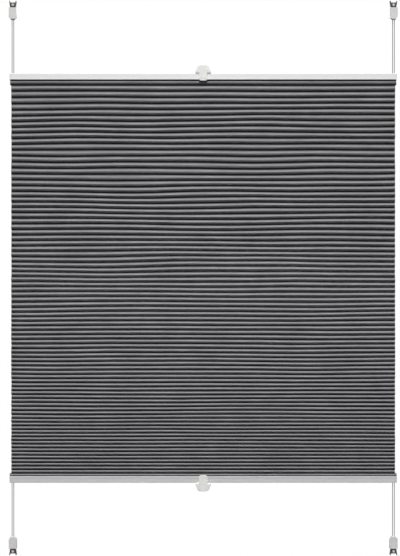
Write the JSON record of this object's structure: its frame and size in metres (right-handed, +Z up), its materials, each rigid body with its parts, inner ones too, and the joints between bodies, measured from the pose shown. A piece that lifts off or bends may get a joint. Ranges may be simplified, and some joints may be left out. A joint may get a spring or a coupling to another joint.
{
  "type": "pleated blind",
  "caption": "Tensioned honeycomb pleated blind: fabric between two sliding rails on cords held by screw clamps that grip a window sash.",
  "frame": {"origin": "middle of the blind's width and height, in the plane of the sash face that the clamps are pressed against", "axes": "+X along the width to the right as seen from the room, +Y towards the window, +Z up"},
  "size_m": [0.9114, 0.0503, 1.3],
  "materials": {
    "white_plastic": "smooth moulded plastic",
    "handle_plastic": "smooth moulded plastic, slightly warm white",
    "strip_plastic": "extruded plastic strip",
    "white_aluminium": "powder-coated aluminium profile",
    "black_plastic": "fine-grained black plastic",
    "dark_steel": "blackened steel with a brown cast",
    "bright_steel": "bright zinc-plated steel",
    "pad_rubber": "soft black rubber",
    "grey_cord": "fine braided polyester cord",
    "pleated_cloth": "dark grey woven polyester with a silver film inside each cell"
  },
  "bodies": {
    "window_clamps": {"top_left_clamp_body": "white_plastic", "top_left_tension_shoe": "white_plastic", "top_left_clamp_channel": "black_plastic", "top_left_screw_seat": "dark_steel", "top_left_sash_pad": "pad_rubber", "top_right_clamp_body": "white_plastic", "top_right_tension_shoe": "white_plastic", "top_right_clamp_channel": "black_plastic", "top_right_screw_seat": "dark_steel", "top_right_sash_pad": "pad_rubber", "bottom_left_clamp_body": "white_plastic", "bottom_left_tension_shoe": "white_plastic", "bottom_left_clamp_channel": "black_plastic", "bottom_left_screw_seat": "dark_steel", "bottom_left_sash_pad": "pad_rubber", "bottom_right_clamp_body": "white_plastic", "bottom_right_tension_shoe": "white_plastic", "bottom_right_clamp_channel": "black_plastic", "bottom_right_screw_seat": "dark_steel", "bottom_right_sash_pad": "pad_rubber", "left_cord": "grey_cord", "right_cord": "grey_cord"},
    "top_rail": {"top_rail": "white_aluminium", "top_fabric_strip": "strip_plastic", "top_handle": "handle_plastic", "top_front_crossing_cord": "grey_cord", "top_rear_crossing_cord": "grey_cord", "honeycomb_fabric": "pleated_cloth", "top_left_end_cap": "white_plastic", "top_left_cord_guide": "white_plastic", "top_right_end_cap": "white_plastic", "top_right_cord_guide": "white_plastic"},
    "bottom_rail": {"bottom_rail": "white_aluminium", "bottom_fabric_strip": "strip_plastic", "bottom_handle": "handle_plastic", "bottom_front_crossing_cord": "grey_cord", "bottom_rear_crossing_cord": "grey_cord", "front_tension_spring": "bright_steel", "rear_tension_spring": "bright_steel", "bottom_left_end_cap": "white_plastic", "bottom_left_cord_guide": "white_plastic", "bottom_right_end_cap": "white_plastic", "bottom_right_cord_guide": "white_plastic"},
    "top_left_screw": {"top_left_clamp_screw": "bright_steel"},
    "top_left_jaw": {"top_left_clamp_jaw": "dark_steel", "top_left_jaw_nut": "bright_steel", "top_left_jaw_pad": "pad_rubber"},
    "top_right_screw": {"top_right_clamp_screw": "bright_steel"},
    "top_right_jaw": {"top_right_clamp_jaw": "dark_steel", "top_right_jaw_nut": "bright_steel", "top_right_jaw_pad": "pad_rubber"},
    "bottom_left_screw": {"bottom_left_clamp_screw": "bright_steel"},
    "bottom_left_jaw": {"bottom_left_clamp_jaw": "dark_steel", "bottom_left_jaw_nut": "bright_steel", "bottom_left_jaw_pad": "pad_rubber"},
    "bottom_right_screw": {"bottom_right_clamp_screw": "bright_steel"},
    "bottom_right_jaw": {"bottom_right_clamp_jaw": "dark_steel", "bottom_right_jaw_nut": "bright_steel", "bottom_right_jaw_pad": "pad_rubber"}
  },
  "joints": [
    {"name": "top_rail_slide", "type": "slide", "parent": "window_clamps", "child": "top_rail", "axis": [0, 0, 1], "range_m": [-0.124, 0.124]},
    {"name": "bottom_rail_slide", "type": "slide", "parent": "top_rail", "child": "bottom_rail", "axis": [0, 0, 1], "range_m": [0, 0.835], "deforming": ["honeycomb_fabric"]},
    {"name": "top_left_screw_turn", "type": "hinge", "parent": "window_clamps", "child": "top_left_screw", "pos_m": [-0.4465, -0.02, 0.6408], "axis": [0, 1, 0], "range_deg": [-6176.4, 2062.1]},
    {"name": "top_left_jaw_slide", "type": "slide", "parent": "window_clamps", "child": "top_left_jaw", "axis": [0, 1, 0], "range_m": [-0.012, 0.004]},
    {"name": "top_right_screw_turn", "type": "hinge", "parent": "window_clamps", "child": "top_right_screw", "pos_m": [0.4465, -0.02, 0.6408], "axis": [0, 1, 0], "range_deg": [-6176.4, 2062.1]},
    {"name": "top_right_jaw_slide", "type": "slide", "parent": "window_clamps", "child": "top_right_jaw", "axis": [0, 1, 0], "range_m": [-0.012, 0.004]},
    {"name": "bottom_left_screw_turn", "type": "hinge", "parent": "window_clamps", "child": "bottom_left_screw", "pos_m": [-0.4465, -0.02, -0.6408], "axis": [0, 1, 0], "range_deg": [-6176.4, 2062.1]},
    {"name": "bottom_left_jaw_slide", "type": "slide", "parent": "window_clamps", "child": "bottom_left_jaw", "axis": [0, 1, 0], "range_m": [-0.012, 0.004]},
    {"name": "bottom_right_screw_turn", "type": "hinge", "parent": "window_clamps", "child": "bottom_right_screw", "pos_m": [0.4465, -0.02, -0.6408], "axis": [0, 1, 0], "range_deg": [-6176.4, 2062.1]},
    {"name": "bottom_right_jaw_slide", "type": "slide", "parent": "window_clamps", "child": "bottom_right_jaw", "axis": [0, 1, 0], "range_m": [-0.012, 0.004]}
  ],
  "couplings": [
    {"joint": "top_left_screw_turn", "follows": "top_left_jaw_slide", "rad_per_m": 8976},
    {"joint": "top_right_screw_turn", "follows": "top_right_jaw_slide", "rad_per_m": 8976},
    {"joint": "bottom_left_screw_turn", "follows": "bottom_left_jaw_slide", "rad_per_m": 8976},
    {"joint": "bottom_right_screw_turn", "follows": "bottom_right_jaw_slide", "rad_per_m": 8976}
  ]
}
